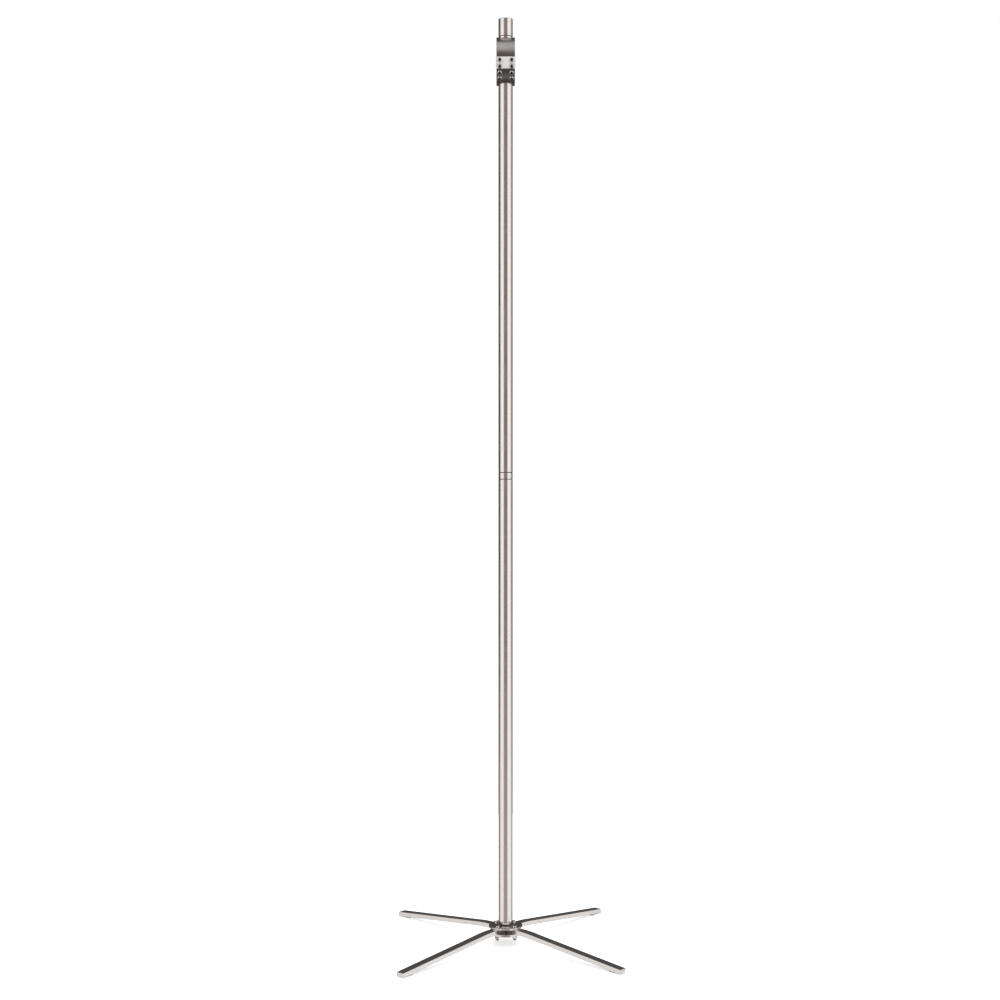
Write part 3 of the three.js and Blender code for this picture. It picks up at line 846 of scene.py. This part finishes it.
def axle_head(hand):
    """A low round head with a hexagon socket, on its shaft; hand is -1 for the left side."""
    outer = DRUM_HALF + AXLE_HEAD_T
    if hand < 0:
        shaft_r, shaft_end, flats = AXLE_R, -high("tilt_axle").x, AXLE_FLATS
    else:
        shaft_r, shaft_end, flats = SCREW_R, low("axle_cap_screw").x, SOCKET_FLATS
    body = revolved([
        (0, shaft_end),
        (shaft_r, shaft_end, HEAD_EDGE),
        (shaft_r, DRUM_HALF),
        (AXLE_HEAD_R, DRUM_HALF, RIM_EDGE),
        (AXLE_HEAD_R, outer, HEAD_EDGE),
        (0, outer),
    ])
    headed = carved(body, "DIFFERENCE", *socket_cutters(flats, outer, AXLE_SOCKET))
    return moved(along_x(headed), Matrix.Diagonal((hand, 1, 1, 1)))


def make_barrel():
    around_neck = NECK_R + CLEARANCE
    show("fork_body", fork_body(), AT_DRUM)
    show("front_plate", carved(curved_plate(PLATE_BOTTOM, PLATE_TOP), "DIFFERENCE",
                               *screw_holes(PLATE_ROWS)), AT_DRUM)
    pole_way = rod(POLE_R + CLEARANCE, -2 * DRUM_R, 0)
    shell = curved_plate(LOWER_BACK - 2 * math.pi, PLATE_BOTTOM - SEAM)
    show("lower_shell", carved(shell, "DIFFERENCE", pole_way, *screw_holes(SHELL_ROWS)),
         AT_DRUM)

    screw = button_screw(SCREW_SHANK)
    for node, place in SCREWS.items():
        show(node, screw, AT_DRUM @ place)
    for hand, sign in HANDS:
        beside = AT_DRUM @ Matrix.Translation((sign * (DRUM_HALF - CHEEK_T / 2), 0, 0))
        show(f"side_cheek_{hand}", cheek(), beside)
        node = f"friction_washer_{hand}"
        washer = sleeve(high(node).z - DRUM.z, AXLE_R + CLEARANCE, low(node).x, high(node).x,
                        FINE_EDGE, SMALL_RING)
        show(node, along_x(washer), AT_DRUM)
    show("tilt_axle", axle_head(-1), AT_DRUM)
    show("axle_cap_screw", axle_head(1), AT_DRUM)

    show("tilt_tongue", tilt_tongue(), AT_DRUM)
    bush = sleeve(BUSH_R, AXLE_R + CLEARANCE, -TONGUE_HALF, TONGUE_HALF, FINE_EDGE, SMALL_RING)
    show("tongue_bush", along_x(bush), AT_DRUM)
    cap = carved(curved_plate(PLATE_TOP + SEAM, CAP_BACK), "DIFFERENCE",
                 rod(around_neck, 0, 2 * DRUM_R))
    show("tilt_cap", cap, AT_DRUM)
    saddle = along_x(rod(DRUM_R + SEAT_GAP, -DRUM_R, DRUM_R, sides=2 * BARREL_RING))
    collar = revolved([(around_neck, COLLAR_FOOT), (POLE_R, COLLAR_FOOT),
                       (POLE_R, NECK_RING_TOP, TUBE_EDGE), (GROOVE_R, NECK_RING_TOP),
                       (GROOVE_R, NECK_STEP_TOP), (around_neck, NECK_STEP_TOP)])
    ring = mesh_of("neck_ring", carved(collar, "DIFFERENCE", saddle))
    # the groove above the ring is marked here, so the metal paints shade in it
    show("neck_ring", mark_recesses(ring, lambda at: at.z > NECK_RING_TOP), AT_DRUM)


# ------------------------------------------------------------------ stub

def make_stub():
    inner = NECK_R + CLEARANCE
    show("stub_tube", sleeve(POLE_R, inner, low("stub_tube").z, high("stub_tube").z, TUBE_EDGE))
    flange = high("stub_tube").z
    top = high("stub_end_cap").z
    show("stub_end_cap", revolved([
        (0, low("stub_end_cap").z),
        (NECK_R, low("stub_end_cap").z, SPIGOT_EDGE),
        (NECK_R, flange),
        (POLE_R, flange, FINE_EDGE),
        (POLE_R, top, STUB_EDGE),
        (0, top),
    ]))


# ------------------------------------------------------------------ studio

FLOOR_TONES = ((0.90, 0.90, 0.90, 1), (0.93, 0.93, 0.93, 1))
FLOOR_PATCHES = 9.0
FLOOR_ROUGHNESS = 0.9
FLOOR_SPECULAR = 0.1
FLOOR_GLOW = 0.6
FLOOR_R = 1.35
FLOOR_RING = 128
FLOOR_GAP = 0.4 * MM


def make_floor():
    """A pale floor that glows a little, as a lit table does, so that shadows stay faint."""
    bm = bmesh.new()
    bmesh.ops.create_circle(bm, cap_ends=True, segments=FLOOR_RING, radius=FLOOR_R)
    mesh = bpy.data.meshes.new("floor")
    moved(bm, Matrix.Translation((0, 0, -FLOOR_GAP))).to_mesh(mesh)
    floor = bpy.data.objects.new("floor", mesh)
    bpy.context.scene.collection.objects.link(floor)
    material = bpy.data.materials.new("pale_floor")
    material.use_nodes = True
    nodes = Nodes(material.node_tree)
    shader = material.node_tree.nodes["Principled BSDF"]
    faint = nodes.noise(nodes.add("TexCoord").outputs["Object"], FLOOR_PATCHES)
    nodes.put(shader.inputs["Base Color"],
              nodes.mixed(nodes.spread(faint, 0.0, 1.0), *FLOOR_TONES))
    shader.inputs["Roughness"].default_value = FLOOR_ROUGHNESS
    shader.inputs["Specular IOR Level"].default_value = FLOOR_SPECULAR
    shader.inputs["Emission Color"].default_value = (1, 1, 1, 1)
    shader.inputs["Emission Strength"].default_value = FLOOR_GLOW
    mesh.materials.append(material)
    floor.visible_glossy = False


# How bright the studio is in each direction round the stand, in degrees from the front, to
# the right: two tall soft lights at the front, and darker in front, beside and behind.
LEVEL = (
    (-180, (0.085, 0.08, 0.076)),
    (-148, (0.12, 0.112, 0.106)),
    (-136, (0.10, 0.09, 0.083)),
    (-99, (0.12, 0.10, 0.09)),
    (-87, (1.00, 0.97, 0.95)),
    (-44, (1.30, 1.27, 1.25)),
    (-34, (1.00, 0.96, 0.93)),
    (-26, (0.30, 0.25, 0.225)),
    (0, (0.25, 0.21, 0.185)),
    (26, (0.30, 0.25, 0.225)),
    (34, (1.00, 0.96, 0.93)),
    (44, (1.30, 1.28, 1.26)),
    (85, (1.15, 1.13, 1.12)),
    (98, (0.42, 0.39, 0.38)),
    (130, (0.34, 0.315, 0.30)),
    (155, (0.12, 0.112, 0.106)),
    (180, (0.085, 0.08, 0.076)),
)
# The same below the horizon, where the pale ground brightens the sides.
GROUND = (
    (-180, (0.16, 0.145, 0.135)),
    (-116, (0.16, 0.145, 0.135)),
    (-99, (0.95, 0.93, 0.91)),
    (-38, (1.15, 1.12, 1.09)),
    (-25, (0.45, 0.405, 0.38)),
    (0, (0.42, 0.375, 0.35)),
    (25, (0.45, 0.405, 0.38)),
    (38, (1.20, 1.18, 1.15)),
    (99, (1.12, 1.10, 1.08)),
    (116, (0.42, 0.39, 0.38)),
    (160, (0.22, 0.20, 0.19)),
    (180, (0.16, 0.145, 0.135)),
)


def dip(degrees):
    """The height of a direction that points so many degrees below the horizon."""
    return -math.sin(math.radians(degrees))


# Where each zone below the horizon starts and where it is full. The ground is darker near the
# stand's foot, and less so straight below.
GROUND_FROM, GROUND_FULL = dip(6), dip(12)
UNDER = (0.12, 0.11, 0.103, 1)
UNDER_FROM, UNDER_FULL = dip(38), dip(50)
NADIR = (0.40, 0.375, 0.36, 1)
NADIR_FROM, NADIR_FULL = dip(66), dip(80)
# A soft light high up in front, and the cosines of how far from its middle it reaches.
CEILING = (1.35, 1.32, 1.29, 1)
CEILING_UP = math.radians(68)
CEILING_TO = Vector((0, -math.cos(CEILING_UP), math.sin(CEILING_UP)))
CEILING_FROM, CEILING_FULL = math.cos(math.radians(34)), math.cos(math.radians(16))
BACKDROP = (1.0, 1.0, 1.0, 1)


def by_bearing(nodes, turn, stops):
    """A colour for each direction round the stand. turn runs from 0 to 1, with 0.5 in front."""
    ramp = nodes.add("ValToRGB", Fac=turn)
    elements = ramp.color_ramp.elements
    for degrees, color in stops:
        place = degrees / 360 + 0.5
        ends = {0.0: elements[0], 1.0: elements[len(elements) - 1]}
        element = ends[place] if place in ends else elements.new(place)
        element.color = (*color, 1)
    return ramp.outputs[0]


def make_surroundings():
    """Light that comes from all round, by direction, with a white backdrop behind the stand."""
    world = bpy.data.worlds.new("studio")
    bpy.context.scene.world = world
    world.use_nodes = True
    tree = world.node_tree
    tree.nodes.clear()
    nodes = Nodes(tree)
    direction = nodes.add("TexCoord").outputs["Generated"]
    x, y, z = nodes.add("SeparateXYZ", Vector=direction).outputs
    bearing = nodes.math("ARCTAN2", x, nodes.math("MULTIPLY", y, -1.0))
    turn = nodes.math("ADD", nodes.math("DIVIDE", bearing, 2 * math.pi), 0.5)
    facing = nodes.add("VectorMath")
    facing.operation = "DOT_PRODUCT"
    nodes.put(facing.inputs[0], direction)
    nodes.put(facing.inputs[1], CEILING_TO)
    grounded = nodes.spread(z, 0.0, 1.0, GROUND_FROM, GROUND_FULL)
    under = nodes.spread(z, 0.0, 1.0, UNDER_FROM, UNDER_FULL)
    nadir = nodes.spread(z, 0.0, 1.0, NADIR_FROM, NADIR_FULL)
    above = nodes.spread(facing.outputs["Value"], 0.0, 1.0, CEILING_FROM, CEILING_FULL)
    sides = nodes.mixed(grounded, by_bearing(nodes, turn, LEVEL),
                        by_bearing(nodes, turn, GROUND))
    below = nodes.mixed(nadir, UNDER, NADIR)
    light = nodes.add("Background",
                      Color=nodes.mixed(above, nodes.mixed(under, sides, below), CEILING))
    seen = nodes.add("Background", Color=BACKDROP)
    choice = nodes.add("MixShader", Fac=nodes.add("LightPath").outputs["Is Camera Ray"])
    tree.links.new(light.outputs[0], choice.inputs[1])
    tree.links.new(seen.outputs[0], choice.inputs[2])
    tree.links.new(choice.outputs[0], nodes.add("OutputWorld").inputs[0])


OVERHEAD_HEIGHT = 4.2
OVERHEAD_SIZE = 6.0
OVERHEAD_POWER = 110.0


def make_overhead_light():
    """A wide soft light that brings the floor up to near white."""
    light = bpy.data.lights.new("overhead", "AREA")
    light.size = OVERHEAD_SIZE
    light.energy = OVERHEAD_POWER
    obj = bpy.data.objects.new("overhead", light)
    obj.location = (0, 0, OVERHEAD_HEIGHT)
    obj.visible_glossy = False
    obj.visible_camera = False
    bpy.context.scene.collection.objects.link(obj)


# distances in metres, and the lens in millimetres
CAMERA_DISTANCE = 3.7
CAMERA_HEIGHT = 1.104
CAMERA_PITCH = math.radians(1.523)
CAMERA_LEFT = 0.0126
LENS = 59.15


def make_camera():
    data = bpy.data.cameras.new("camera")
    data.lens = LENS
    data.dof.use_dof = False
    camera = bpy.data.objects.new("camera", data)
    camera.location = (-CAMERA_LEFT, -CAMERA_DISTANCE, CAMERA_HEIGHT)
    camera.rotation_euler = (math.pi / 2 - CAMERA_PITCH, 0, 0)
    bpy.context.scene.collection.objects.link(camera)
    bpy.context.scene.camera = camera


make_camera()
make_base()
make_pole()
make_barrel()
make_stub()
make_floor()
make_surroundings()
make_overhead_light()
bpy.context.scene.view_settings.view_transform = "Standard"
